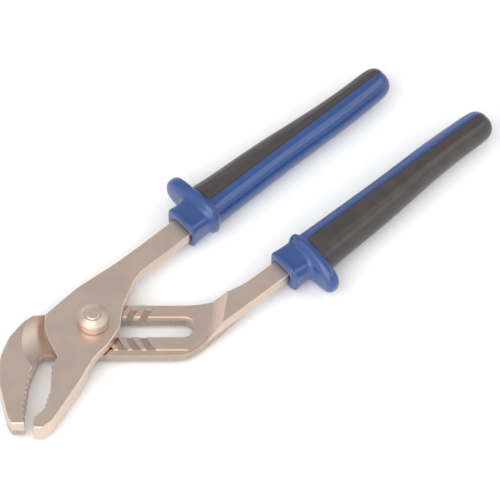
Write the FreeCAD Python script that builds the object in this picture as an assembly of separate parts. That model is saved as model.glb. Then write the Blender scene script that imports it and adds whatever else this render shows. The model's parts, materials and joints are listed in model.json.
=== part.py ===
import FreeCAD, Part
import math
import os

V = FreeCAD.Vector

# Tongue and groove pliers, in mm. The pivot axis is +Z, the adjusting slot runs along +X, and the
# outer face of the pivot bolt's head lies in the plane z = 0. The pose is the first groove with the
# jaws almost closed.

# ---- heights of the forgings above the bolt head's outer face
bolt_head_height = 3.1
plate_gap = 0.1
rear_plate_thickness = 5.3
front_plate_thickness = 4.8
ledge_depth = 0.65
groove_depth = 1.3
parting_gap = 0.2
shank_thickness = 5.8
edge_round = 0.7

# ---- adjusting slot, lands and grooves
slot_width = 9.0
groove_positions = 7
groove_pitch = 6.35
slot_near_gap = 0.4
slot_far_gap = 2.4
land_slot_inset = 1.7
land_top_inset = 1.8
land_bottom_inset = 3.0
groove_inner_radius = 14.9
groove_width = 3.1
groove_wall_gap = 0.2
tongue_ledge_gap = 0.1
groove_arc_start = 110.0
groove_arc_end = 250.0
tongue_start_angle = 25.0
lower_tongue_end_angle = 40.0
upper_tongue_end_angle = 36.0

# ---- pivot bolt and nut
bolt_head_overlap = 3.5
slot_side_clearance = 0.1
journal_shoulder = 0.4
journal_clearance = 0.05
stud_shoulder = 0.65
stud_stand = 0.9
nut_wall = 3.75
nut_rim_height = 5.2
nut_cone_height = 1.7
nut_top_flat = 0.6
nut_edge = 0.6
bolt_head_chamfer = 0.9
bolt_end_round = 0.5

# ---- slotted (rear) arm
top_rail_width = 7.9
bottom_rail_width = 9.7
head_left_end = -16.0
head_corner_round = 5.0
rail_shank_round_top = 48.0
rail_shank_round_bottom = 14.0
head_radius = 22.0
rim_gap = 0.4
dish_centre = (-10.2, -9.6)
dish_radius = 21.8
slot_to_step = 7.3
step_run = 6.0
step_lean_angle = 8.0
shank_under_slope = 16.0

# ---- pivoting (front) arm
jaw_relief_radius = 24.0
shank_relief_radius = 23.0
relief_half_band = 5.0
front_bend_distance = 31.0
front_bend_round = 20.0
front_back_distance = 45.0
front_back_round = 60.0

# ---- jaw teeth
tooth_depth = 0.9
tooth_pitch = 2.6
tooth_flank = 0.3

# ---- handles: angle to +X, and distance of the centreline to the left of the pivot axis
front_handle_angle = 42.5
front_handle_offset = 11.0
rear_handle_angle = 41.0
rear_handle_past_slot = 13.57
front_mouth_distance = 64.0
rear_shank_length = 44.3
front_shank_width = 11.4
rear_shank_width = 9.8

# ---- grips: two-part mouldings on the tangs
grip_rise = 0.4
guard_length = 19.5
grip_body_length = 106.4
tang_width = 8.4
tang_thickness = 4.4
tang_end_wall = 22.0
tang_start = 9.0
tang_overlap = 1.0
insert_start_gap = 1.0
insert_thickness = 2.4
insert_end_wall = 2.5
# collar and guard: distance from the mouth, outward, inward half widths, half thickness
guard_sections = [
    (0.0, 8.6, 7.6, 7.4),
    (1.2, 9.6, 8.3, 8.5),
    (3.5, 10.2, 8.6, 8.9),
    (6.0, 11.6, 8.9, 9.4),
    (8.0, 16.6, 9.3, 10.1),
    (10.0, 21.2, 9.6, 10.7),
    (12.5, 22.8, 9.7, 10.9),
    (15.0, 21.6, 9.6, 10.7),
    (17.0, 17.4, 9.2, 9.9),
]
# body behind the guard: share of its length, outward, inward half widths, half thickness
body_sections = [
    (0.0, 14.0, 8.8, 8.7),
    (0.042, 13.2, 8.5, 8.0),
    (0.136, 12.5, 8.4, 7.8),
    (0.287, 11.8, 8.3, 7.8),
    (0.428, 10.4, 8.3, 7.6),
    (0.569, 8.7, 8.7, 7.5),
    (0.71, 7.3, 9.0, 7.4),
    (0.832, 6.9, 8.7, 7.3),
    (0.916, 7.2, 8.4, 7.1),
    (0.968, 6.2, 7.4, 6.3),
    (1.0, 3.8, 4.8, 4.0),
]
grip_section_points = 16
grip_squareness = 2.5

# ---- outlines of the forgings: x, y and the corner's rounding radius
hook_outline = [
    (-29.6, -53.4, 0.8),
    (-30.3, -46.0, 20.0),
    (-28.7, -32.0, 12.0),
    (-27.6, -26.0, 6.0),
    (-24.6, -17.0, 2.0),
    (-22.0, -14.9, 1.0),
    (-14.0, -14.2, 0.0),
    (-14.0, 8.0, 0.0),
    (-20.5, 7.6, 1.5),
    (-31.0, 1.6, 18.0),
    (-38.0, -8.0, 14.0),
    (-41.8, -18.5, 18.0),
    (-41.8, -32.0, 30.0),
    (-37.6, -50.0, 10.0),
    (-35.6, -53.4, 1.0),
]
front_jaw_outline = [
    (-26.0, -55.6, 0.8),
    (-21.8, -55.6, 1.2),
    (-17.2, -51.8, 3.0),
    (-5.6, -31.5, 60.0),
    (1.4, -17.6, 25.0),
    (6.9, -11.9, 12.0),
    (12.2, -2.6, 12.0),
    (13.3, 8.0, 20.0),
]
front_throat_outline = [
    (-15.8, -18.3, 1.5),
    (-18.3, -22.6, 4.0),
    (-18.7, -35.5, 14.0),
    (-21.6, -45.6, 8.0),
    (-25.6, -49.4, 3.0),
]

front_back_outline = [
    (10.0, 32.3, 60.0),
    (-7.7, 18.7, 30.0),
    (-21.6, 4.6, 1.0),
]
rim_start_angle = 172.0
rim_end_angle = 205.0

# ---- derived levels
rear_plate_bottom = bolt_head_height + plate_gap
rear_plate_top = rear_plate_bottom + rear_plate_thickness
ledge_level = rear_plate_top - ledge_depth
groove_floor = rear_plate_top - groove_depth
front_plate_bottom = rear_plate_top + parting_gap
front_plate_top = front_plate_bottom + front_plate_thickness
shank_bottom = front_plate_top - shank_thickness
grip_axis_height = front_plate_top - shank_thickness / 2.0 + grip_rise

# ---- derived sizes in the plane
travel = groove_pitch * (groove_positions - 1)
head_top_edge = slot_width / 2.0 + top_rail_width
head_bottom_edge = -(slot_width / 2.0 + bottom_rail_width)
hook_wall_radius = head_radius + rim_gap
shoulder_radius = slot_width / 2.0 - slot_side_clearance
journal_radius = shoulder_radius - journal_shoulder
stud_radius = journal_radius - stud_shoulder
step_x = travel + slot_far_gap + slot_width / 2.0 + slot_to_step
rear_crossing = travel + rear_handle_past_slot
rear_handle_offset = -rear_crossing * math.sin(math.radians(rear_handle_angle))
rear_mouth_distance = rear_shank_length + rear_crossing * math.cos(math.radians(rear_handle_angle))
grip_length = guard_length + grip_body_length
grip_sections = guard_sections + [
    (guard_length + share * grip_body_length, outward, inward, half)
    for share, outward, inward, half in body_sections
]


def rounded_wire(corners, z):
    """Closed wire through the corners, each rounded by an arc of its own radius."""
    count = len(corners)
    starts = []
    ends = []
    arcs = []
    for i, (x, y, radius) in enumerate(corners):
        corner = V(x, y, z)
        before = V(corners[i - 1][0], corners[i - 1][1], z) - corner
        after = V(corners[(i + 1) % count][0], corners[(i + 1) % count][1], z) - corner
        before.normalize()
        after.normalize()
        half = before.getAngle(after) / 2.0
        reach = radius / math.tan(half)
        starts.append(corner + before * reach)
        ends.append(corner + after * reach)
        middle = before + after
        if radius > 0.0 and middle.Length > 1e-6:
            middle.normalize()
            arcs.append(corner + middle * (radius / math.sin(half) - radius))
        else:
            arcs.append(None)
    edges = []
    for i in range(count):
        if arcs[i] is not None:
            edges.append(Part.Arc(starts[i], arcs[i], ends[i]).toShape())
        following = starts[(i + 1) % count]
        if (following - ends[i]).Length > 1e-6:
            edges.append(Part.LineSegment(ends[i], following).toShape())
    return Part.Wire(edges)


def prism(wire, height):
    """Solid standing on a flat wire."""
    return Part.Face(wire).extrude(V(0, 0, height))


def round_rim(solid, z, radius):
    """Round every edge that lies in the plane at height z."""
    rim = []
    for edge in solid.Edges:
        box = edge.BoundBox
        if abs(box.ZMin - z) < 1e-5 and abs(box.ZMax - z) < 1e-5:
            rim.append(edge)
    return solid.makeFillet(radius, rim)


def box_between(low, high):
    size = high - low
    return Part.makeBox(size.x, size.y, size.z, low)


def handle_point(angle, offset, distance, outward=0.0):
    """Point in the plane, by its distance along a handle and its offset to the left."""
    a = math.radians(angle)
    side = offset + outward
    return (distance * math.cos(a) - side * math.sin(a), distance * math.sin(a) + side * math.cos(a))


def arm_section(angle, offset, mouth, bottom, top, width, start, end):
    """Straight bar along a handle, between two distances from its grip's mouth."""
    corners = []
    for distance, side in ((start, -0.5), (end, -0.5), (end, 0.5), (start, 0.5)):
        x, y = handle_point(angle, offset, mouth + distance, side * width)
        corners.append((x, y, 0.0))
    return prism(rounded_wire(corners, bottom), top - bottom)


def tang(angle, offset, mouth):
    """Thin end of a forging, inside its grip."""
    bottom = grip_axis_height - tang_thickness / 2.0
    top = grip_axis_height + tang_thickness / 2.0
    start = tang_start - tang_overlap
    end = grip_length - tang_end_wall
    return arm_section(angle, offset, mouth, bottom, top, tang_width, start, end)


def ring_sector(centre_x, inner, outer, bottom, top, start_angle, end_angle):
    """Part of a flat ring about a pivot position, between two angles to +X."""
    span = end_angle - start_angle
    base = V(centre_x, 0, bottom)
    ring = Part.makeCylinder(outer, top - bottom, base, V(0, 0, 1), span)
    ring = ring.cut(Part.makeCylinder(inner, top - bottom, base, V(0, 0, 1), 360))
    ring.rotate(base, V(0, 0, 1), start_angle)
    return ring


def slot_prism(half_width, bottom, top):
    """Round-ended slot that lets the bolt travel from the first groove to the last."""
    left = -slot_near_gap
    right = travel + slot_far_gap
    low = V(left, -half_width, bottom)
    slot = box_between(low, V(right, half_width, top))
    for x in (left, right):
        slot = slot.fuse(Part.makeCylinder(half_width, top - bottom, V(x, 0, bottom)))
    return slot.removeSplitter()


def tooth_notches(corners):
    """V notches across the gripping edge that runs through the corners."""
    notches = []
    for (x0, y0, _), (x1, y1, _) in zip(corners, corners[1:]):
        start = V(x0, y0, rear_plate_bottom - 1.0)
        run = V(x1 - x0, y1 - y0, 0)
        count = int(run.Length / tooth_pitch)
        step = run / count
        out = V(run.y, -run.x, 0) * (1.0 / run.Length)
        for i in range(count):
            first = start + step * i
            points = [
                first - step * tooth_flank + out * tooth_depth,
                first + step * (1.0 + tooth_flank) + out * tooth_depth,
                first + step,
                first + step * (1.0 - tooth_flank) - out * tooth_depth,
                first,
                first - step * tooth_flank + out * tooth_depth,
            ]
            notches.append(prism(Part.makePolygon(points), front_plate_top + 2.0))
    return notches


def make_slotted_arm():
    """Rear forging: hooked jaw, slotted head with lands and grooves, shank and tang."""
    half = rear_shank_width / 2.0
    shank_end = rear_mouth_distance + tang_start
    low = handle_point(rear_handle_angle, rear_handle_offset, shank_end, -half)
    high = handle_point(rear_handle_angle, rear_handle_offset, shank_end, half)
    a = math.radians(rear_handle_angle)
    corner_low_x = (-(rear_handle_offset - half) + head_bottom_edge * math.cos(a)) / math.sin(a)
    corner_high_x = (-(rear_handle_offset + half) + head_top_edge * math.cos(a)) / math.sin(a)
    outline = [
        (head_left_end, head_bottom_edge, 0.0),
        (corner_low_x, head_bottom_edge, rail_shank_round_bottom),
        (low[0], low[1], 0.0),
        (high[0], high[1], 0.0),
        (corner_high_x, head_top_edge, rail_shank_round_top),
        (head_left_end / 2.0, head_top_edge, head_corner_round),
        (head_left_end, head_top_edge - head_corner_round / 2.0, 0.0),
    ]
    wire = rounded_wire(outline, rear_plate_bottom)
    body = prism(wire, front_plate_top - rear_plate_bottom)
    body = round_rim(body, front_plate_top, edge_round)

    # open space over the slotted head, up to the slope that climbs to the shank
    reach = 4.0 * head_radius
    above = front_plate_top + 1.0
    slope_points = [
        V(-reach, -reach, rear_plate_top),
        V(step_x, -reach, rear_plate_top),
        V(step_x + step_run, -reach, front_plate_top),
        V(step_x + step_run, -reach, above),
        V(-reach, -reach, above),
        V(-reach, -reach, rear_plate_top),
    ]
    over = Part.Face(Part.makePolygon(slope_points)).extrude(V(0, 2.0 * reach, 0))
    over.rotate(V(step_x, 0, 0), V(0, 0, 1), -step_lean_angle)
    body = body.cut(over)

    # low ledge outside the land, and the slope under the shank
    land = prism(wire.makeOffset2D(-land_top_inset), front_plate_top)
    land_low = V(-reach, head_bottom_edge + land_bottom_inset, 0)
    land_high = V(reach, head_top_edge - land_top_inset, above)
    land_band = box_between(land_low, land_high)
    land = land.common(land_band)
    ledge = box_between(V(-reach, -reach, ledge_level), V(step_x, reach, rear_plate_top))
    ledge.rotate(V(step_x, 0, 0), V(0, 0, 1), -step_lean_angle)
    body = body.cut(ledge.cut(land))
    under = box_between(V(0, -reach, -reach), V(reach, reach, 0))
    under.rotate(V(0, 0, 0), V(0, 1, 0), -shank_under_slope)
    under.translate(V(step_x + 1.0, 0, rear_plate_bottom))
    flat_under = box_between(V(step_x, -reach, -reach), V(step_x + reach, reach, shank_bottom))
    body = body.cut(under.common(flat_under))

    # hooked jaw, dished towards the front arm's head
    hook = prism(rounded_wire(hook_outline, rear_plate_bottom), front_plate_top - rear_plate_bottom)
    hook = round_rim(hook, front_plate_top, edge_round)
    hook = round_rim(hook, rear_plate_bottom, edge_round)
    clear = Part.makeCylinder(hook_wall_radius, front_plate_top, V(0, 0, rear_plate_top))
    foot = Part.makeCircle(hook_wall_radius, V(0, 0, rear_plate_top))
    rim = Part.makeCircle(dish_radius, V(dish_centre[0], dish_centre[1], front_plate_top))
    dish = Part.makeLoft([Part.Wire(foot), Part.Wire(rim)], True, True)
    hook = hook.cut(clear)
    hook = hook.cut(dish)
    for notch in tooth_notches(hook_outline[:4]):
        hook = hook.cut(notch)
    body = body.fuse(hook)

    body = body.cut(slot_prism(slot_width / 2.0, 0.0, front_plate_top))
    body = body.cut(slot_prism(slot_width / 2.0 + land_slot_inset, ledge_level, front_plate_top))
    inner = groove_inner_radius
    outer = groove_inner_radius + groove_width
    for k in range(groove_positions):
        centre = k * groove_pitch
        groove = ring_sector(centre, inner, outer, groove_floor, above, groove_arc_start, groove_arc_end)
        body = body.cut(groove.common(land_band))
    body = body.fuse(tang(rear_handle_angle, rear_handle_offset, rear_mouth_distance))
    return body.removeSplitter()


def make_pivoting_arm():
    """Front forging: inner jaw, round head with two tongues under it, shank and tang."""
    half = front_shank_width / 2.0
    shank_end = front_mouth_distance + tang_start
    run_on = [
        handle_point(front_handle_angle, front_handle_offset, front_bend_distance, -half) + (front_bend_round,),
        handle_point(front_handle_angle, front_handle_offset, shank_end, -half) + (0.0,),
        handle_point(front_handle_angle, front_handle_offset, shank_end, half) + (0.0,),
        handle_point(front_handle_angle, front_handle_offset, front_back_distance, half) + (front_back_round,),
    ]
    half_span = math.radians(rim_end_angle - rim_start_angle) / 2.0
    rim_angle = math.radians(rim_end_angle + rim_start_angle) / 2.0
    reach = head_radius / math.cos(half_span)
    rim = [(reach * math.cos(rim_angle), reach * math.sin(rim_angle), head_radius)]
    outline = front_jaw_outline + run_on + front_back_outline + rim + front_throat_outline

    plate = prism(rounded_wire(outline, front_plate_bottom), front_plate_thickness)
    plate = round_rim(plate, front_plate_top, edge_round)

    # full-depth jaw below the head, and the shank's lower layer above it
    reach = 4.0 * front_mouth_distance
    jaw = prism(rounded_wire(outline, rear_plate_bottom), front_plate_bottom - rear_plate_bottom)
    jaw = round_rim(jaw, rear_plate_bottom, edge_round)
    jaw = jaw.cut(box_between(V(-reach, -relief_half_band, 0), V(reach, reach, front_plate_top)))
    jaw = jaw.cut(Part.makeCylinder(jaw_relief_radius, front_plate_top))
    shank = prism(rounded_wire(outline, shank_bottom), front_plate_bottom - shank_bottom)
    shank = round_rim(shank, shank_bottom, edge_round)
    shank = shank.cut(box_between(V(-reach, -reach, 0), V(reach, relief_half_band, front_plate_top)))
    shank = shank.cut(Part.makeCylinder(shank_relief_radius, front_plate_top))
    body = plate.fuse([jaw, shank])

    for notch in tooth_notches(front_throat_outline[1:]):
        body = body.cut(notch)

    inner = groove_inner_radius + groove_wall_gap
    outer = groove_inner_radius + groove_width - groove_wall_gap
    bottom = ledge_level + tongue_ledge_gap
    lower = (180.0 + tongue_start_angle, 180.0 + lower_tongue_end_angle)
    upper = (180.0 - upper_tongue_end_angle, 180.0 - tongue_start_angle)
    for start, end in (lower, upper):
        tongue = ring_sector(0.0, inner, outer, bottom, front_plate_bottom + parting_gap, start, end)
        body = body.fuse(tongue)
    body = body.cut(Part.makeCylinder(journal_radius + journal_clearance, front_plate_top))
    body = body.fuse(tang(front_handle_angle, front_handle_offset, front_mouth_distance))
    return body.removeSplitter()


def make_pivot_bolt():
    """Bolt with a flat round head, a shoulder that runs in the slot, a journal and an end stud."""
    head = Part.makeCylinder(slot_width / 2.0 + bolt_head_overlap, bolt_head_height)
    head = round_rim(head, 0.0, bolt_head_chamfer)
    shoulder_top = front_plate_bottom - plate_gap
    journal_top = front_plate_top + plate_gap
    shoulder = Part.makeCylinder(shoulder_radius, shoulder_top - bolt_head_height, V(0, 0, bolt_head_height))
    journal = Part.makeCylinder(journal_radius, journal_top - shoulder_top, V(0, 0, shoulder_top))
    stud_length = nut_rim_height + nut_cone_height + stud_stand
    stud = Part.makeCylinder(stud_radius, stud_length, V(0, 0, journal_top))
    stud = round_rim(stud, journal_top + stud_length, bolt_end_round)
    return head.fuse([shoulder, journal, stud]).removeSplitter()


def make_pivot_nut():
    """Round nut with a shallow cone on top, seated on the end of the bolt's journal."""
    bottom = front_plate_top + plate_gap
    radius = stud_radius + nut_wall
    rim_top = bottom + nut_rim_height
    nut = Part.makeCylinder(radius, nut_rim_height, V(0, 0, bottom))
    nut = round_rim(nut, rim_top, nut_edge)
    nut = round_rim(nut, bottom, nut_edge)
    flat_radius = stud_radius + nut_top_flat
    nut = nut.fuse(Part.makeCone(radius - nut_edge, flat_radius, nut_cone_height, V(0, 0, rim_top)))
    return nut.cut(Part.makeCylinder(stud_radius, nut_rim_height + nut_cone_height, V(0, 0, bottom)))


def grip_loft(angle, offset, mouth, outward, inset):
    """Loft through the grip's sections, each drawn in by the inset."""
    wires = []
    power = 2.0 / grip_squareness
    for distance, out_half, in_half, thick in grip_sections:
        points = []
        for i in range(grip_section_points):
            turn = 2.0 * math.pi * i / grip_section_points
            c = math.cos(turn)
            s = math.sin(turn)
            wide = (out_half if c >= 0.0 else in_half) - inset
            side = math.copysign(wide * abs(c) ** power, c) * outward
            height = math.copysign((thick - inset) * abs(s) ** power, s)
            x, y = handle_point(angle, offset, mouth + distance, side)
            points.append(V(x, y, grip_axis_height + height))
        curve = Part.BSplineCurve()
        curve.interpolate(points, PeriodicFlag=True)
        wires.append(Part.Wire(curve.toShape()))
    return Part.makeLoft(wires, True, False)


def make_grip(angle, offset, mouth, shank_width, outward):
    """Blue sleeve with its guard, and the dark moulding let into its outer side."""
    outer = grip_loft(angle, offset, mouth, outward, 0.0)
    core = grip_loft(angle, offset, mouth, outward, insert_thickness)
    near = guard_length - insert_start_gap
    far = grip_length - insert_end_wall
    beyond = 2.0 * guard_length
    corners = []
    for distance, side in ((near, 0.0), (far, 0.0), (far, beyond), (near, beyond)):
        x, y = handle_point(angle, offset, mouth + distance, side * outward)
        corners.append((x, y, 0.0))
    half_space = prism(rounded_wire(corners, -beyond), 2.0 * beyond)
    insert = outer.common(half_space).cut(core)
    sleeve = outer.cut(insert)
    start = -tang_start
    shank = arm_section(angle, offset, mouth, shank_bottom, front_plate_top, shank_width, start, tang_start)
    sleeve = sleeve.cut(shank)
    sleeve = sleeve.cut(tang(angle, offset, mouth))
    return sleeve, insert


def build():
    os.makedirs("parts", exist_ok=True)
    front = (front_handle_angle, front_handle_offset, front_mouth_distance, front_shank_width, 1.0)
    rear = (rear_handle_angle, rear_handle_offset, rear_mouth_distance, rear_shank_width, -1.0)
    front_sleeve, front_insert = make_grip(*front)
    rear_sleeve, rear_insert = make_grip(*rear)
    nodes = {
        "slotted_arm": make_slotted_arm(),
        "pivoting_arm": make_pivoting_arm(),
        "pivot_bolt": make_pivot_bolt(),
        "pivot_nut": make_pivot_nut(),
        "slotted_arm_grip": rear_sleeve,
        "slotted_arm_insert": rear_insert,
        "pivoting_arm_grip": front_sleeve,
        "pivoting_arm_insert": front_insert,
    }
    for name, shape in nodes.items():
        shape.exportStep("parts/" + name + ".step")
        print(name, shape.ShapeType, len(shape.Solids), shape.isValid(), round(shape.Volume, 1))


build()
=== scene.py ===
import json
import math

import bmesh
import bpy
from mathutils import Matrix, Vector


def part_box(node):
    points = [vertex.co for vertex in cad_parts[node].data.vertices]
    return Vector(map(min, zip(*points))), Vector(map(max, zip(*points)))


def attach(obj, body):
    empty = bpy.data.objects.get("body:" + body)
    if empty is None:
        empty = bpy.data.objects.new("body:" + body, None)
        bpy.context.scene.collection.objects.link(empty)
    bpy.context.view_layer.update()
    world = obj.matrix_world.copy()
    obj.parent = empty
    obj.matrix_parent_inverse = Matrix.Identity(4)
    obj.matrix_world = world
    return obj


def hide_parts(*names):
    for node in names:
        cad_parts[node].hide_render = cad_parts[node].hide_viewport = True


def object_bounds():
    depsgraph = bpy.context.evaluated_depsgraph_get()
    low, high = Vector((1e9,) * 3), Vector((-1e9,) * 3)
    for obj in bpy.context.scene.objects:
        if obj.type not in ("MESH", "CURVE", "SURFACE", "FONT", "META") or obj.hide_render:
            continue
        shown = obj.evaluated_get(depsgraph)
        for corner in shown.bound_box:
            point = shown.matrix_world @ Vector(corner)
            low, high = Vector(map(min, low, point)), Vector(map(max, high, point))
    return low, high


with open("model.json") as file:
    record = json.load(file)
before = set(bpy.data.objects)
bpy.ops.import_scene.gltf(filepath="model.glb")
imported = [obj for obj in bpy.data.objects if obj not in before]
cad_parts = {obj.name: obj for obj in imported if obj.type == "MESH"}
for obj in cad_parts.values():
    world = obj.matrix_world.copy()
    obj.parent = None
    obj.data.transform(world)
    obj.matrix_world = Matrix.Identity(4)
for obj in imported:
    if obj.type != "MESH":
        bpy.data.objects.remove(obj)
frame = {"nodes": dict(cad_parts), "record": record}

bl_info = {
    "name": "Tongue and groove pliers",
    "version": (1, 0, 0),
    "blender": (4, 5, 0),
    "location": "View3D > Sidebar > Pliers",
    "description": "Finishes the packed pliers with moulded grips, plated steel and a studio stage",
    "category": "Object",
}

CAD_LOW, CAD_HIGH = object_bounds()
MM = 0.001

# Depths below the slotted arm's top face, in mm, between which painted shade darkens its grooves.
GROOVE_SHADE_TOP = 5.75
GROOVE_SHADE_FLOOR = 6.35

# Each handle: CAD nodes, body, mount that marks the grip's mouth, the side its guard stands on, the
# half width of its shank and the place of its parting line across the grip, in mm.
HANDLES = {
    "pivoting": {
        "body": "pivoting_half",
        "grip": "pivoting_arm_grip",
        "insert": "pivoting_arm_insert",
        "mount": "pivoting_handle",
        "side": 1.0,
        "shank_half": 5.7,
        "parting": 0.0,
    },
    "slotted": {
        "body": "slotted_half",
        "grip": "slotted_arm_grip",
        "insert": "slotted_arm_insert",
        "mount": "slotted_handle",
        "side": -1.0,
        "shank_half": 4.9,
        "parting": -2.0,
    },
}

STEEL_NODES = ("slotted_arm", "pivoting_arm", "pivot_bolt", "pivot_nut")

# Stations round a quarter of a grip's section, from the top to the side, as shares of the half
# width and half thickness: the moulded profile with its soft ridge and channel, and a plain one.
MOULDED = ((0.22, 1.0), (0.41, 0.975), (0.52, 0.885), (0.68, 0.825), (0.91, 0.50))
PLAIN = ((0.34, 0.985), (0.58, 0.90), (0.76, 0.765), (0.895, 0.58), (0.975, 0.33))
SQUARE = ((0.36, 1.0), (0.66, 0.985), (0.89, 0.885), (0.985, 0.66), (1.0, 0.36))

# Collar of a sleeve, in mm: distance from the mouth, outward and inward half widths, half
# thickness, squareness of the section (0 plain, 1 square) and how far its outer side leans back.
COLLAR = (
    (0.00, 8.8, 6.9, 6.7, 1.0, 0.0),
    (0.10, 9.5, 7.5, 7.3, 1.0, 0.0),
    (0.60, 9.9, 7.8, 7.7, 1.0, 0.0),
    (1.60, 9.9, 7.8, 7.7, 1.0, 0.0),
    (2.80, 9.6, 7.6, 7.3, 1.0, 0.0),
    (6.00, 9.6, 7.6, 7.2, 0.9, 0.0),
    (8.60, 9.9, 7.7, 7.2, 0.7, -0.3),
    (9.80, 12.4, 7.9, 7.3, 0.5, -1.2),
    (10.8, 17.5, 8.2, 7.8, 0.3, -2.4),
    (11.6, 21.5, 8.9, 8.7, 0.2, -2.4),
    (12.4, 22.9, 9.4, 9.6, 0.2, -1.6),
    (13.8, 23.1, 9.6, 10.1, 0.2, -0.2),
    (14.7, 22.4, 9.5, 9.9, 0.2, 0.9),
    (15.1, 20.6, 9.2, 9.3, 0.2, 1.3),
    (15.4, 16.0, 8.7, 8.4, 0.1, 0.9),
    (16.2, 14.3, 8.5, 7.9, 0.0, 0.3),
)
# Body of a grip behind the collar: distance, outward and inward half widths, half thickness.
BODY = (
    (18.6, 13.8, 8.6, 7.9),
    (24.0, 13.2, 8.5, 7.9),
    (34.0, 12.5, 8.4, 7.8),
    (50.0, 11.8, 8.3, 7.8),
    (65.0, 10.4, 8.3, 7.6),
    (80.0, 8.7, 8.7, 7.5),
    (95.0, 7.3, 9.0, 7.4),
    (108.0, 6.9, 8.7, 7.3),
    (116.0, 7.1, 8.4, 7.2),
    (120.5, 7.0, 8.1, 7.0),
    (123.4, 6.2, 7.2, 6.2),
    (125.1, 4.7, 5.5, 4.7),
    (125.9, 2.4, 3.0, 2.6),
)

# Hole in a sleeve's mouth, in mm: distance from the mouth, clearance beside the shank, bottom, top.
MOUTH_HOLE = (
    (4.00, 0.30, -3.50, 2.70),
    (0.90, 0.30, -3.50, 2.70),
    (0.25, 0.45, -3.65, 2.85),
    (0.00, 0.80, -4.00, 3.20),
)
HOLE_EDGE = 0.35
# A collar's lean grows between these distances out from the grip's axis, in mm.
LEAN_START = 8.0
LEAN_FULL = 23.0
# The parting line's offset shrinks where a grip's half width falls below these, in mm.
SLEEVE_FULL_HALF = 8.0
INSERT_FULL_HALF = 4.0
# Largest share of the half thickness for the sleeve's recess and for the insert's depth.
RECESS_SHARE = 0.5
INSERT_SHARE = 0.6
# How the insert's near end is drawn in, in mm: along the grip, across it and through it.
INSERT_END_STEP = 0.4
INSERT_END_WIDTH = 0.2
INSERT_END_THICKNESS = 0.1

# Studio walls: bands of the direction's parts over which a level changes, and the levels reached.
GLOW_BAND = (0.02, 0.35)
GLOW_LEVEL = 2.4
FRONT_BAND = (-0.85, -0.35)
FRONT_HEIGHT_BAND = (0.15, 0.45)
GAP_RISE_BAND = (0.16, 0.30)
GAP_FALL_BAND = (0.40, 0.48)
GAP_DEPTH = 0.65
DARKEST_LEVEL = 0.25
PANEL_SIDE_BAND = (0.46, 0.56)
PANEL_HEIGHT_BAND = (0.50, 0.62)
PANEL_LEVEL = 2.2

# Point that the camera and the key light are turned to, and the stage's fixed sizes, in metres;
# the sensor's width is in mm.
TARGET = Vector((0.0707, 0.0388, 0.0135))
KEY_OFFSET = Vector((-0.5, -1.1, 1.2))
KEY_SIZE = 2.2
FLOOR_HALF = 6.0
CLIP_END = 50.0
SENSOR_WIDTH = 36.0


class PliersGripSettings(bpy.types.PropertyGroup):
    """Sizes of the two-part moulded grips."""

    recess: bpy.props.FloatProperty(
        name="Insert recess", description="Depth of the sleeve's recess under the dark insert",
        default=1.1 * MM, min=0.2 * MM, max=3.0 * MM, precision=5, unit="LENGTH")
    insert_depth: bpy.props.FloatProperty(
        name="Insert depth", description="Thickness of the dark insert",
        default=1.5 * MM, min=0.4 * MM, max=4.0 * MM, precision=5, unit="LENGTH")
    insert_proud: bpy.props.FloatProperty(
        name="Insert stand", description="How far the insert stands proud of the sleeve",
        default=0.10 * MM, min=0.0, max=1.0 * MM, precision=5, unit="LENGTH")
    parting_gap: bpy.props.FloatProperty(
        name="Parting gap", description="Gap between the sleeve's edge and the insert's edge",
        default=0.04 * MM, min=0.0, max=1.0 * MM, precision=5, unit="LENGTH")
    edge_round: bpy.props.FloatProperty(
        name="Parting edge", description="Rounding of the two edges along the parting line",
        default=0.22 * MM, min=0.05 * MM, max=1.5 * MM, precision=5, unit="LENGTH")
    insert_start: bpy.props.FloatProperty(
        name="Insert start", description="Distance from the mouth to the insert's near end",
        default=16.6 * MM, min=10.0 * MM, max=30.0 * MM, precision=5, unit="LENGTH")
    levels: bpy.props.IntProperty(
        name="Smoothing", description="Subdivision levels of the grips", default=2, min=1, max=3)


class PliersFinishSettings(bpy.types.PropertyGroup):
    """Colours and finishes."""

    steel: bpy.props.FloatVectorProperty(
        name="Plating", description="Colour of the satin plating", subtype="COLOR",
        size=3, min=0.0, max=1.0, default=(0.705, 0.57, 0.485))
    steel_roughness: bpy.props.FloatProperty(
        name="Plating roughness", description="How soft the plating's reflections are",
        default=0.34, min=0.05, max=1.0)
    sleeve: bpy.props.FloatVectorProperty(
        name="Sleeve", description="Colour of the grips' sleeves", subtype="COLOR",
        size=3, min=0.0, max=1.0, default=(0.020, 0.062, 0.22))
    insert: bpy.props.FloatVectorProperty(
        name="Insert", description="Colour of the grips' inserts", subtype="COLOR",
        size=3, min=0.0, max=1.0, default=(0.045, 0.036, 0.036))


class PliersStageSettings(bpy.types.PropertyGroup):
    """Camera, lights and floor."""

    elevation: bpy.props.FloatProperty(
        name="Elevation", description="Camera's height angle above the floor",
        default=math.radians(57.0), subtype="ANGLE")
    span: bpy.props.FloatProperty(
        name="Span", description="Width that the camera takes in at the tool",
        default=0.2273, unit="LENGTH")
    distance: bpy.props.FloatProperty(
        name="Distance", description="Camera's distance from the tool", default=2.6, unit="LENGTH")
    world: bpy.props.FloatProperty(
        name="Surround", description="Brightness of the studio's walls", default=0.66, min=0.0)
    key: bpy.props.FloatProperty(
        name="Key light", description="Power of the softbox in front of the tool, in watts",
        default=38.0, min=0.0)
    floor: bpy.props.FloatVectorProperty(
        name="Floor", description="Colour of the floor", subtype="COLOR",
        size=3, min=0.0, max=1.0, default=(0.93, 0.93, 0.93))


# ---- shader node groups

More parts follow.
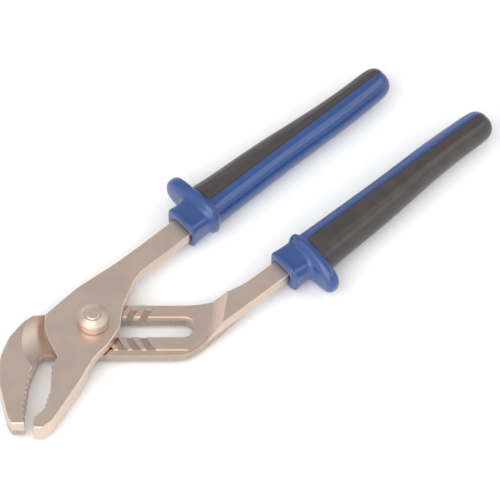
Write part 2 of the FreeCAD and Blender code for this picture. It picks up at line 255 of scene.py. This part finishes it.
def new_group(name, inputs, outputs):
    """Empty shader group with the named sockets; gives the tree, its input and its output node."""
    tree = bpy.data.node_groups.new(name, "ShaderNodeTree")
    for label, kind, value in inputs:
        socket = tree.interface.new_socket(label, in_out="INPUT", socket_type=kind)
        socket.default_value = value
    for label, kind in outputs:
        tree.interface.new_socket(label, in_out="OUTPUT", socket_type=kind)
    return tree, tree.nodes.new("NodeGroupInput"), tree.nodes.new("NodeGroupOutput")


def add_node(tree, kind, **values):
    """Node with its properties set by name."""
    node = tree.nodes.new(kind)
    for key, value in values.items():
        setattr(node, key, value)
    return node


def noise(tree, vector, scale, detail=3.0, roughness=0.5):
    """Noise texture on a vector; scale is a number or a socket."""
    node = add_node(tree, "ShaderNodeTexNoise")
    tree.links.new(vector, node.inputs["Vector"])
    if isinstance(scale, (int, float)):
        node.inputs["Scale"].default_value = scale
    else:
        tree.links.new(scale, node.inputs["Scale"])
    node.inputs["Detail"].default_value = detail
    node.inputs["Roughness"].default_value = roughness
    return node.outputs["Fac"]


def math_node(tree, operation, first, second, clamp=False):
    """Math node on sockets or numbers."""
    node = add_node(tree, "ShaderNodeMath", operation=operation, use_clamp=clamp)
    for socket, value in zip(node.inputs, (first, second)):
        if isinstance(value, (int, float)):
            socket.default_value = value
        else:
            tree.links.new(value, socket)
    return node.outputs["Value"]


def map_range(tree, value, low, high, to_low=0.0, to_high=1.0):
    """Value moved from one range to another, held inside it."""
    node = add_node(tree, "ShaderNodeMapRange", interpolation_type="SMOOTHSTEP")
    tree.links.new(value, node.inputs["Value"])
    numbers = {"From Min": low, "From Max": high, "To Min": to_low, "To Max": to_high}
    for name, number in numbers.items():
        node.inputs[name].default_value = number
    return node.outputs["Result"]


def mix_colour(tree, factor, first, second):
    """Mix of two colours given as sockets or tuples."""
    node = add_node(tree, "ShaderNodeMix", data_type="RGBA")
    colours = [socket for socket in node.inputs if socket.type == "RGBA"]
    sockets = [node.inputs["Factor"]] + colours
    for socket, value in zip(sockets, (factor, first, second)):
        if isinstance(value, bpy.types.NodeSocket):
            tree.links.new(value, socket)
        elif isinstance(value, (int, float)):
            socket.default_value = value
        else:
            socket.default_value = tuple(value) + (1.0,)
    return next(socket for socket in node.outputs if socket.type == "RGBA")


def grain_group():
    """Fine surface grain: a height and a roughness that vary at two scales."""
    tree, inputs, outputs = new_group(
        "surface_grain",
        (
            ("Vector", "NodeSocketVector", (0.0, 0.0, 0.0)),
            ("Fine Scale", "NodeSocketFloat", 3000.0),
            ("Coarse Scale", "NodeSocketFloat", 600.0),
            ("Coarse Share", "NodeSocketFloat", 0.5),
            ("Roughness", "NodeSocketFloat", 0.4),
            ("Roughness Spread", "NodeSocketFloat", 0.06),
        ),
        (("Height", "NodeSocketFloat"), ("Roughness", "NodeSocketFloat")),
    )
    fine = noise(tree, inputs.outputs["Vector"], inputs.outputs["Fine Scale"], 2.0, 0.6)
    coarse = noise(tree, inputs.outputs["Vector"], inputs.outputs["Coarse Scale"], 3.0, 0.5)
    weighted = math_node(tree, "MULTIPLY", coarse, inputs.outputs["Coarse Share"])
    height = math_node(tree, "ADD", fine, weighted)
    centred = math_node(tree, "SUBTRACT", coarse, 0.5)
    spread = math_node(tree, "MULTIPLY", centred, inputs.outputs["Roughness Spread"])
    rough = math_node(tree, "ADD", inputs.outputs["Roughness"], spread, clamp=True)
    tree.links.new(height, outputs.inputs["Height"])
    tree.links.new(rough, outputs.inputs["Roughness"])
    return tree


def drift_group():
    """Slow and fine drift of a colour towards a second one."""
    tree, inputs, outputs = new_group(
        "tone_drift",
        (
            ("Vector", "NodeSocketVector", (0.0, 0.0, 0.0)),
            ("Colour", "NodeSocketColor", (0.5, 0.5, 0.5, 1.0)),
            ("Second Colour", "NodeSocketColor", (0.4, 0.4, 0.4, 1.0)),
            ("Scale", "NodeSocketFloat", 40.0),
            ("Amount", "NodeSocketFloat", 0.5),
        ),
        (("Colour", "NodeSocketColor"), ("Mask", "NodeSocketFloat")),
    )
    slow = noise(tree, inputs.outputs["Vector"], inputs.outputs["Scale"], 4.0, 0.55)
    spread = map_range(tree, slow, 0.35, 0.68)
    amount = math_node(tree, "MULTIPLY", spread, inputs.outputs["Amount"])
    colour = mix_colour(tree, amount, inputs.outputs["Colour"], inputs.outputs["Second Colour"])
    tree.links.new(colour, outputs.inputs["Colour"])
    tree.links.new(amount, outputs.inputs["Mask"])
    return tree


def place_group(tree, group, **values):
    """Group node with its inputs set from numbers, colours or sockets (spaces as underscores)."""
    node = tree.nodes.new("ShaderNodeGroup")
    node.node_tree = group
    for key, value in values.items():
        socket = node.inputs[key.replace("_", " ")]
        if isinstance(value, bpy.types.NodeSocket):
            tree.links.new(value, socket)
        elif isinstance(value, (int, float)):
            socket.default_value = value
        else:
            socket.default_value = tuple(value) + (1.0,)
    return node


def shared_group(name, maker):
    """The shader group of that name, made once."""
    return bpy.data.node_groups.get(name) or maker()


def start_material(name, **values):
    """Material with a Principled shader; gives it, its tree, shader and Object coordinates."""
    material = bpy.data.materials.new(name)
    material.use_nodes = True
    tree = material.node_tree
    shader = tree.nodes["Principled BSDF"]
    for key, value in values.items():
        shader.inputs[key.replace("_", " ")].default_value = value
    coords = tree.nodes.new("ShaderNodeTexCoord").outputs["Object"]
    return material, tree, shader, coords


def add_bump(tree, shader, height, distance, strength):
    """Bump from a height socket onto the shader's normal."""
    bump = tree.nodes.new("ShaderNodeBump")
    bump.inputs["Distance"].default_value = distance
    bump.inputs["Strength"].default_value = strength
    tree.links.new(height, bump.inputs["Height"])
    tree.links.new(bump.outputs["Normal"], shader.inputs["Normal"])


def shade(colour, factor):
    """Colour made lighter or darker by a factor."""
    return tuple(min(1.0, channel * factor) for channel in colour)


def drifting_colour(tree, coords, colour, second, scale, amount):
    """Colour socket that drifts from one tone towards a second one."""
    drift = place_group(
        tree, shared_group("tone_drift", drift_group),
        Vector=coords, Colour=colour, Second_Colour=second, Scale=scale, Amount=amount)
    return drift.outputs["Colour"]


def grain_surface(tree, shader, coords, relief, strength, **grain_values):
    """Grain on the shader's roughness and, as a bump, on its normal."""
    grain = place_group(
        tree, shared_group("surface_grain", grain_group), Vector=coords, **grain_values)
    tree.links.new(grain.outputs["Roughness"], shader.inputs["Roughness"])
    add_bump(tree, shader, grain.outputs["Height"], relief, strength)


def steel_material(name, settings, cavity_top=0.0, cavity_floor=0.0, softness=0.0, tone=1.0):
    """Satin plated steel with a blasted grain; painted shade deepens from a cavity's top to its
    floor.
    """
    material, tree, shader, coords = start_material(name, Metallic=1.0)
    colour = shade(settings.steel, tone)
    base = drifting_colour(tree, coords, colour, shade(colour, 0.90), 70.0, 0.8)
    if cavity_top > cavity_floor:
        split = tree.nodes.new("ShaderNodeSeparateXYZ")
        tree.links.new(coords, split.inputs["Vector"])
        # Painted shade: the plating is darkened, in uneven patches, from the cavity's top down to
        # its floor.
        depth = map_range(tree, split.outputs["Z"], cavity_floor, cavity_top, 1.0, 0.0)
        patchy = map_range(tree, noise(tree, coords, 500.0, 3.0), 0.2, 0.7, 0.6, 1.0)
        painted_shade = math_node(tree, "MULTIPLY", depth, patchy)
        base = mix_colour(tree, painted_shade, base, shade(colour, 0.62))
    tree.links.new(base, shader.inputs["Base Color"])
    grain_surface(
        tree, shader, coords, 0.00006, 0.35,
        Fine_Scale=4200.0, Coarse_Scale=900.0, Coarse_Share=0.7,
        Roughness=settings.steel_roughness + softness, Roughness_Spread=0.16)
    return material


def sleeve_material(settings):
    """Semi-matte moulded vinyl with slight handling marks."""
    material, tree, shader, coords = start_material(
        "sleeve_vinyl", Specular_IOR_Level=0.6, Coat_Weight=0.25, Coat_Roughness=0.35)
    colour = tuple(settings.sleeve)
    base = drifting_colour(tree, coords, colour, shade(colour, 0.8), 55.0, 0.6)
    tree.links.new(base, shader.inputs["Base Color"])
    grain_surface(
        tree, shader, coords, 0.00005, 0.25,
        Fine_Scale=5200.0, Coarse_Scale=260.0, Coarse_Share=0.5,
        Roughness=0.24, Roughness_Spread=0.08)
    return material


def insert_material(settings):
    """Soft dark elastomer with a fine matte texture."""
    material, tree, shader, coords = start_material("insert_elastomer", Specular_IOR_Level=0.5)
    colour = tuple(settings.insert)
    base = drifting_colour(tree, coords, colour, shade(colour, 1.35), 120.0, 0.7)
    tree.links.new(base, shader.inputs["Base Color"])
    grain_surface(
        tree, shader, coords, 0.00008, 0.4,
        Fine_Scale=3600.0, Coarse_Scale=1200.0, Coarse_Share=0.4,
        Roughness=0.34, Roughness_Spread=0.10)
    return material


# ---- mesh helpers

def start_ring(bm, points):
    """First ring of a loft: a circle of vertices moved onto the points."""
    verts = bmesh.ops.create_circle(bm, cap_ends=False, radius=1.0, segments=len(points))["verts"]
    for vert, point in zip(verts, points):
        vert.co = point
    return verts


def ring_edges(bm, ring):
    """Open edges that join the vertices of a ring."""
    members = set(ring)
    edges = [edge for edge in bm.edges if edge.is_boundary or edge.is_wire]
    return [edge for edge in edges if edge.verts[0] in members and edge.verts[1] in members]


def next_ring(bm, ring, points):
    """Extrude a ring of vertices onto the next points."""
    edges = ring_edges(bm, ring)
    made = bmesh.ops.extrude_edge_only(bm, edges=edges)["geom"]
    fresh = {item for item in made if isinstance(item, bmesh.types.BMVert)}
    following = []
    for vert, point in zip(ring, points):
        mate = next(e.other_vert(vert) for e in vert.link_edges if e.other_vert(vert) in fresh)
        mate.co = point
        following.append(mate)
    return following


def close_ring(bm, ring):
    """Close the open end of a loft with a cap of triangles round one middle point."""
    cap = bmesh.ops.contextual_create(bm, geom=ring_edges(bm, ring))["faces"]
    bmesh.ops.poke(bm, faces=cap)


def loft(rings):
    """Closed loft through rings of points."""
    bm = bmesh.new()
    ring = start_ring(bm, rings[0])
    first = ring
    for points in rings[1:]:
        ring = next_ring(bm, ring, points)
    close_ring(bm, first)
    close_ring(bm, ring)
    bmesh.ops.recalc_face_normals(bm, faces=bm.faces)
    return bm


def finish_piece(bm, name, material, body, nodes, levels):
    """Mesh object from a bmesh, smoothed, in its material, riding on its body for its CAD nodes."""
    mesh = bpy.data.meshes.new(name)
    bm.to_mesh(mesh)
    bm.free()
    for face in mesh.polygons:
        face.use_smooth = True
    piece = bpy.data.objects.new(name, mesh)
    bpy.context.scene.collection.objects.link(piece)
    mesh.materials.append(material)
    smoothing = piece.modifiers.new("smoothing", "SUBSURF")
    smoothing.levels = levels
    smoothing.render_levels = levels
    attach(piece, body)
    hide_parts(*nodes)


# ---- grips

def handle_matrix(handle):
    """Turns grip sizes, in mm from the mouth, outward and up, into the row frame."""
    mount = next(m for m in frame["record"]["mounts"] if m["name"] == handle["mount"])
    along = Vector(mount["axis"]).normalized()
    outward = Vector((-along.y, along.x, 0.0)) * handle["side"]
    turn = Matrix((along, outward, Vector((0.0, 0.0, 1.0)))).transposed().to_4x4()
    return Matrix.Translation(Vector(mount["pos_m"])) @ turn @ Matrix.Scale(MM, 4)


def blend_stations(first, second, share):
    """Stations part way between two quarter profiles."""
    pairs = zip(first, second)
    return [(a[0] + (b[0] - a[0]) * share, a[1] + (b[1] - a[1]) * share) for a, b in pairs]


def place_on_handle(bm, handle):
    """Move a grip mesh onto its handle; a side of -1 mirrors it."""
    bm.transform(handle_matrix(handle))
    if handle["side"] < 0.0:
        # Known fault: this reads normals that the transform left stale, so it turns nothing and a
        # mirrored grip's faces point inwards. bm.normal_update() before it turns them outwards.
        bmesh.ops.recalc_face_normals(bm, faces=bm.faces)


def sleeve_ring(x, wide, narrow, thick, stations, lean, step, edge, parting):
    """Section of a sleeve; step is how far its outer side lies below the parting line."""
    points = []

    def put(y, h):
        share = max(0.0, y - LEAN_START) / (LEAN_FULL - LEAN_START)
        points.append(Vector((x + lean * min(1.0, share), y, h)))

    outer = [(u * (wide - step), v * (thick - step)) for u, v in stations]
    inner = [(u * narrow, v * thick) for u, v in stations]
    # the first inner station stays clear of the parting line's rounded edge
    inner[0] = (max(inner[0][0], edge * 3.0 - parting), inner[0][1])
    if step > 0.0:
        corner = [(parting, thick - edge), (parting + edge * 0.2, thick - step)]
    else:
        corner = [(parting, thick), (parting + edge, thick)]
    corner.insert(0, (parting - edge, thick))
    for y, h in outer:
        put(y, h)
    put(wide - step, 0.0)
    for y, h in reversed(outer):
        put(y, -h)
    for y, h in reversed(corner):
        put(y, -h)
    for y, h in inner:
        put(-y, -h)
    put(-narrow, 0.0)
    for y, h in reversed(inner):
        put(-y, h)
    for y, h in corner:
        put(y, h)
    return points


def hole_ring(x, half, low, high):
    """Section of the mouth's hole, with as many points as a sleeve's section."""
    middle = (low + high) / 2.0
    half_height = (high - low) / 2.0
    ring = sleeve_ring(x, half, half, half_height, SQUARE, 0.0, 0.0, HOLE_EDGE, 0.0)
    return [point + Vector((0.0, 0.0, middle)) for point in ring]


def sleeve_mesh(handle, settings):
    """Sleeve with its mouth, collar and guard; its outer side is recessed for the insert."""
    step = settings.recess / MM
    edge = settings.edge_round / MM
    parting = handle["parting"]
    rings = []
    for x, clearance, low, high in MOUTH_HOLE:
        rings.append(hole_ring(x, handle["shank_half"] + clearance, low, high))
    for x, wide, narrow, thick, squareness, lean in COLLAR:
        stations = blend_stations(PLAIN, SQUARE, squareness)
        rings.append(sleeve_ring(x, wide, narrow, thick, stations, lean, 0.0, edge, parting))
    for x, wide, narrow, thick in BODY:
        depth = min(step, thick * RECESS_SHARE)
        place = parting * min(1.0, narrow / SLEEVE_FULL_HALF)
        rings.append(sleeve_ring(x, wide, narrow, thick, MOULDED, 0.0, depth, edge, place))
    bm = loft(rings)
    place_on_handle(bm, handle)
    return bm


def insert_ring(x, wide, thick, depth, edge, side):
    """Closed section of an insert: its outer face, two rounded edges and its hidden inner face."""
    # the stations over the outer face stay clear of the rounded edge
    outer = [(max(u * wide, side + edge * 1.5), v * thick) for u, v in MOULDED]
    inner = [(u * (wide - depth), v * (thick - depth)) for u, v in MOULDED]
    upper = [(side, thick - depth), (side, thick - edge), (side + edge, thick)] + outer
    section = upper + [(wide, 0.0)] + [(y, -h) for y, h in reversed(upper)]
    section += [(y, -h) for y, h in inner] + [(wide - depth, 0.0)] + inner[::-1]
    return [Vector((x, y, h)) for y, h in section]


def insert_mesh(handle, settings):
    """Dark insert that fills the recess in the outer side of a sleeve."""
    depth = settings.insert_depth / MM
    edge = settings.edge_round / MM
    side = handle["parting"] + settings.parting_gap / MM
    proud = settings.insert_proud / MM
    start = settings.insert_start / MM
    _, first_wide, _, first_thick = BODY[0]
    rows = [
        (start, first_wide - INSERT_END_WIDTH, first_thick - INSERT_END_THICKNESS),
        (start + INSERT_END_STEP, first_wide, first_thick),
    ]
    rows += [(x, wide, thick) for x, wide, _, thick in BODY]
    rings = []
    for x, wide, thick in rows:
        deep = min(depth, thick * INSERT_SHARE)
        place = side * min(1.0, wide / INSERT_FULL_HALF)
        rings.append(insert_ring(x, wide + proud, thick + proud, deep, edge, place))
    bm = loft(rings)
    place_on_handle(bm, handle)
    return bm


# ---- operators

class PliersSteelOperator(bpy.types.Operator):
    """Give the forged arms, the bolt and the nut their satin plating"""

    bl_idname = "pliers.steel"
    bl_label = "Plated steel"

    def execute(self, context):
        settings = context.scene.pliers_finish
        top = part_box("slotted_arm")[1].z
        finishes = {
            # the slotted arm's grooves get painted shade in their plating
            "slotted_arm": steel_material(
                "forging_plating_slotted", settings, top - GROOVE_SHADE_TOP * MM, top - GROOVE_SHADE_FLOOR * MM),
            "pivoting_arm": steel_material("forging_plating_pivoting", settings),
            "pivot_bolt": steel_material("bolt_plating", settings),
            "pivot_nut": steel_material("nut_plating", settings, softness=0.14, tone=0.82),
        }
        for name in STEEL_NODES:
            node = frame["nodes"][name]
            node.data.materials.clear()
            node.data.materials.append(finishes[name])
        return {"FINISHED"}


class PliersSleevesOperator(bpy.types.Operator):
    """Mould the two sleeves with their guards"""

    bl_idname = "pliers.sleeves"
    bl_label = "Grip sleeves"

    def execute(self, context):
        settings = context.scene.pliers_grip
        material = sleeve_material(context.scene.pliers_finish)
        for name, handle in HANDLES.items():
            bm = sleeve_mesh(handle, settings)
            finish_piece(
                bm, name + "_sleeve", material, handle["body"],
                [handle["grip"]], settings.levels)
        return {"FINISHED"}


class PliersInsertsOperator(bpy.types.Operator):
    """Let the dark inserts into the outer sides of the sleeves"""

    bl_idname = "pliers.inserts"
    bl_label = "Grip inserts"

    def execute(self, context):
        settings = context.scene.pliers_grip
        material = insert_material(context.scene.pliers_finish)
        for name, handle in HANDLES.items():
            bm = insert_mesh(handle, settings)
            finish_piece(
                bm, name + "_insert", material, handle["body"],
                [handle["insert"]], settings.levels)
        return {"FINISHED"}


def add_area_light(name, place, target, size, power):
    """Square softbox at a place, turned to a target."""
    light = bpy.data.lights.new(name, "AREA")
    light.shape = "SQUARE"
    light.size = size
    light.energy = power
    lamp = bpy.data.objects.new(name, light)
    lamp.location = place
    lamp.rotation_euler = (target - place).to_track_quat("-Z", "Y").to_euler()
    bpy.context.scene.collection.objects.link(lamp)


def surround_shading(tree, background):
    """Soft studio walls: bright near the floor, dark in front, and a bright panel on the right."""
    coords = tree.nodes.new("ShaderNodeTexCoord").outputs["Generated"]
    split = tree.nodes.new("ShaderNodeSeparateXYZ")
    tree.links.new(coords, split.inputs["Vector"])
    across, along, up = (split.outputs[axis] for axis in "XYZ")

    def multiply(first, second):
        return math_node(tree, "MULTIPLY", first, second)

    glow = map_range(tree, up, *GLOW_BAND, GLOW_LEVEL, 1.0)
    front = map_range(tree, along, *FRONT_BAND, 1.0, 0.0)
    dim = multiply(front, map_range(tree, up, *FRONT_HEIGHT_BAND))
    level = multiply(glow, math_node(tree, "SUBTRACT", 1.0, dim))
    rising = map_range(tree, across, *GAP_RISE_BAND, 0.0, GAP_DEPTH)
    falling = map_range(tree, across, *GAP_FALL_BAND, 1.0, 0.0)
    gap = math_node(tree, "SUBTRACT", 1.0, multiply(rising, falling))
    level = math_node(tree, "MAXIMUM", multiply(level, gap), DARKEST_LEVEL)
    panel_side = map_range(tree, across, *PANEL_SIDE_BAND, 0.0, PANEL_LEVEL)
    panel = multiply(panel_side, map_range(tree, up, *PANEL_HEIGHT_BAND))
    level = math_node(tree, "ADD", level, panel)
    tone = tree.nodes.new("ShaderNodeCombineColor")
    for channel in ("Red", "Green", "Blue"):
        tree.links.new(level, tone.inputs[channel])
    tree.links.new(tone.outputs["Color"], background.inputs["Color"])


class PliersStageOperator(bpy.types.Operator):
    """Set up the floor, the soft studio light and the camera"""

    bl_idname = "pliers.stage"
    bl_label = "Studio stage"

    def execute(self, context):
        settings = context.scene.pliers_stage
        bm = bmesh.new()
        bmesh.ops.create_grid(bm, x_segments=2, y_segments=2, size=FLOOR_HALF)
        mesh = bpy.data.meshes.new("floor")
        bm.to_mesh(mesh)
        bm.free()
        floor = bpy.data.objects.new("floor", mesh)
        floor.location.z = CAD_LOW[2]
        context.scene.collection.objects.link(floor)
        material, tree, shader, coords = start_material("floor_paper", Roughness=0.9)
        pale = tuple(settings.floor)
        base = drifting_colour(tree, coords, pale, shade(pale, 0.99), 3.0, 0.5)
        tree.links.new(base, shader.inputs["Base Color"])
        mesh.materials.append(material)

        world = bpy.data.worlds.new("studio")
        world.use_nodes = True
        background = world.node_tree.nodes["Background"]
        surround_shading(world.node_tree, background)
        background.inputs["Strength"].default_value = settings.world
        context.scene.world = world

        add_area_light("key", TARGET + KEY_OFFSET, TARGET, KEY_SIZE, settings.key)

        camera = bpy.data.cameras.new("camera")
        camera.sensor_width = SENSOR_WIDTH
        camera.lens = camera.sensor_width * settings.distance / settings.span
        camera.clip_end = CLIP_END
        eye = bpy.data.objects.new("camera", camera)
        look = Vector((0.0, math.cos(settings.elevation), -math.sin(settings.elevation)))
        eye.location = TARGET - look * settings.distance
        eye.rotation_euler = look.to_track_quat("-Z", "Y").to_euler()
        context.scene.collection.objects.link(eye)
        context.scene.camera = eye
        context.scene.view_settings.view_transform = "Standard"
        return {"FINISHED"}


class PliersPanel(bpy.types.Panel):
    """Lists the pliers' pieces and their settings"""

    bl_idname = "VIEW3D_PT_pliers"
    bl_label = "Pliers"
    bl_space_type = "VIEW_3D"
    bl_region_type = "UI"
    bl_category = "Pliers"

    def draw(self, context):
        layout = self.layout
        for operator in OPERATORS:
            layout.operator(operator.bl_idname)
        scene = context.scene
        for group in (scene.pliers_grip, scene.pliers_finish, scene.pliers_stage):
            for name in group.bl_rna.properties.keys():
                if name not in ("rna_type", "name"):
                    layout.prop(group, name)


OPERATORS = (PliersSteelOperator, PliersSleevesOperator, PliersInsertsOperator, PliersStageOperator)
SETTINGS = (PliersGripSettings, PliersFinishSettings, PliersStageSettings)
CLASSES = SETTINGS + OPERATORS + (PliersPanel,)


def register():
    for cls in CLASSES:
        bpy.utils.register_class(cls)
    bpy.types.Scene.pliers_grip = bpy.props.PointerProperty(type=PliersGripSettings)
    bpy.types.Scene.pliers_finish = bpy.props.PointerProperty(type=PliersFinishSettings)
    bpy.types.Scene.pliers_stage = bpy.props.PointerProperty(type=PliersStageSettings)


def unregister():
    del bpy.types.Scene.pliers_stage
    del bpy.types.Scene.pliers_finish
    del bpy.types.Scene.pliers_grip
    for cls in reversed(CLASSES):
        bpy.utils.unregister_class(cls)


def main():
    register()
    bpy.ops.pliers.steel()
    bpy.ops.pliers.sleeves()
    bpy.ops.pliers.inserts()
    bpy.ops.pliers.stage()


if __name__ == "__main__":
    main()
